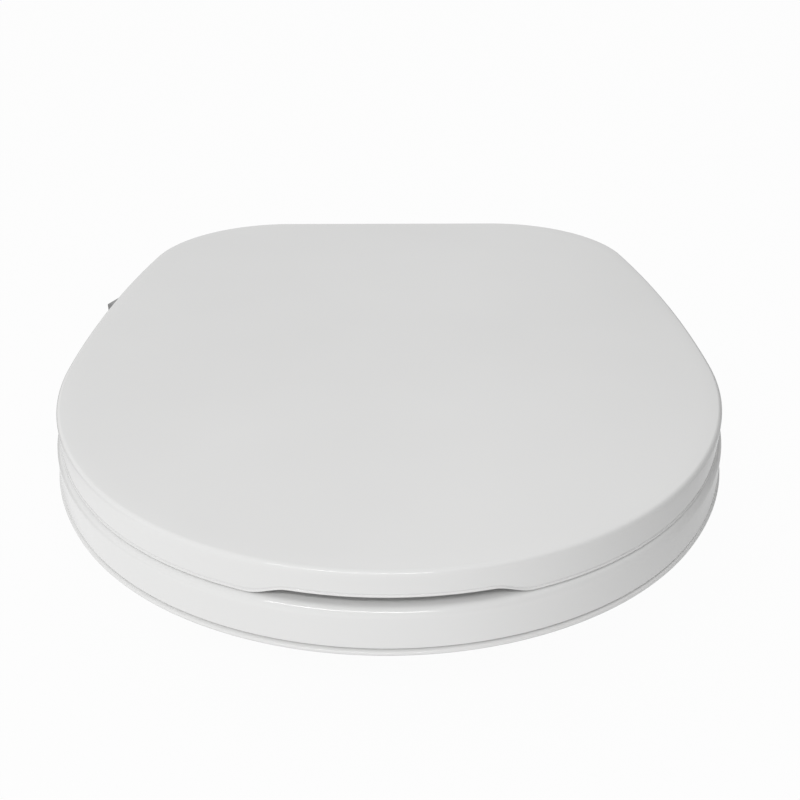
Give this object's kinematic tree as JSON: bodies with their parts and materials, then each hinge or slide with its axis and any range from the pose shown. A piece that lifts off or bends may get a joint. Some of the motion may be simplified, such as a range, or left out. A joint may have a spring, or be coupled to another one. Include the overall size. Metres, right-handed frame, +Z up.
{
  "type": "raised toilet seat",
  "caption": "Slim clamp-on raised toilet seat with an oval opening, a soft-close lid with a finger scoop, and a side locking lever.",
  "frame": {"origin": "centre of the seat opening, in the plane of the toilet bowl's rim, where the rubber pads rest", "axes": "+Z up; -Y the front of the seat; +X the right side seen from the front looking to the rear"},
  "size_m": [0.386, 0.4542, 0.086],
  "materials": {
    "lid_plastic": "glossy white moulded lid with faint orange peel",
    "seat_plastic": "glossy white moulded seat with faint orange peel",
    "fitting_plastic": "semi-gloss white moulded fittings",
    "damper_plastic": "dark grey moulded damper body",
    "lever_grey": "satin mid-grey lever",
    "grip_rubber": "dark grey rubber, dull",
    "buffer_rubber": "soft off-white rubber",
    "bracket_steel": "pressed stainless steel, brushed",
    "bright_steel": "bright turned stainless steel"
  },
  "bodies": {
    "seat": {"seat_shell": "seat_plastic", "seat_base": "seat_plastic", "base_screws": "bright_steel", "bowl_collar": "fitting_plastic", "rim_pad_front_left": "grip_rubber", "rim_pad_front_right": "grip_rubber", "rim_pad_rear_left": "grip_rubber", "rim_pad_rear_right": "grip_rubber", "hinge_lug_left": "fitting_plastic", "hinge_lug_right": "fitting_plastic", "lug_screws": "bright_steel", "damper_shaft_left": "bright_steel", "damper_shaft_right": "bright_steel", "fixed_jaw": "bracket_steel", "fixed_jaw_pad": "grip_rubber", "fixed_jaw_screws": "bright_steel", "clamp_guide": "fitting_plastic", "guide_screws": "bright_steel", "lever_pivot": "bright_steel", "lever_washer": "bright_steel", "pivot_clip": "bright_steel"},
    "lid": {"lid_shell": "lid_plastic", "lid_buffer_front_left": "buffer_rubber", "lid_buffer_front_right": "buffer_rubber", "lid_buffer_rear_left": "buffer_rubber", "lid_buffer_rear_right": "buffer_rubber", "hinge_knuckle_left": "fitting_plastic", "hinge_knuckle_right": "fitting_plastic", "knuckle_screws": "bright_steel", "damper_barrel_left": "damper_plastic", "damper_barrel_right": "damper_plastic", "hinge_cap_left": "fitting_plastic", "hinge_cap_right": "fitting_plastic"},
    "lever": {"lock_lever": "lever_grey", "lever_grip": "lever_grey", "crank_pin": "bright_steel"},
    "slider": {"clamp_slider": "bracket_steel", "moving_jaw": "bracket_steel", "moving_jaw_pad": "grip_rubber", "moving_jaw_screws": "bright_steel"}
  },
  "joints": [
    {"name": "lid_hinge", "type": "hinge", "parent": "seat", "child": "lid", "pos_m": [0, 0.228, 0.0265], "axis": [-1, 0, 0], "range_deg": [0, 105]},
    {"name": "lever_pivot_joint", "type": "hinge", "parent": "seat", "child": "lever", "pos_m": [-0.15, 0.182, 0.0184], "axis": [0, 0, -1], "range_deg": [0, 90]},
    {"name": "clamp_slide", "type": "slide", "parent": "seat", "child": "slider", "axis": [-1, 0, 0], "range_m": [0, 0.00992]}
  ],
  "couplings": [
    {"joint": "clamp_slide", "follows": "lever_pivot_joint", "m_per_rad": 0.006302}
  ]
}
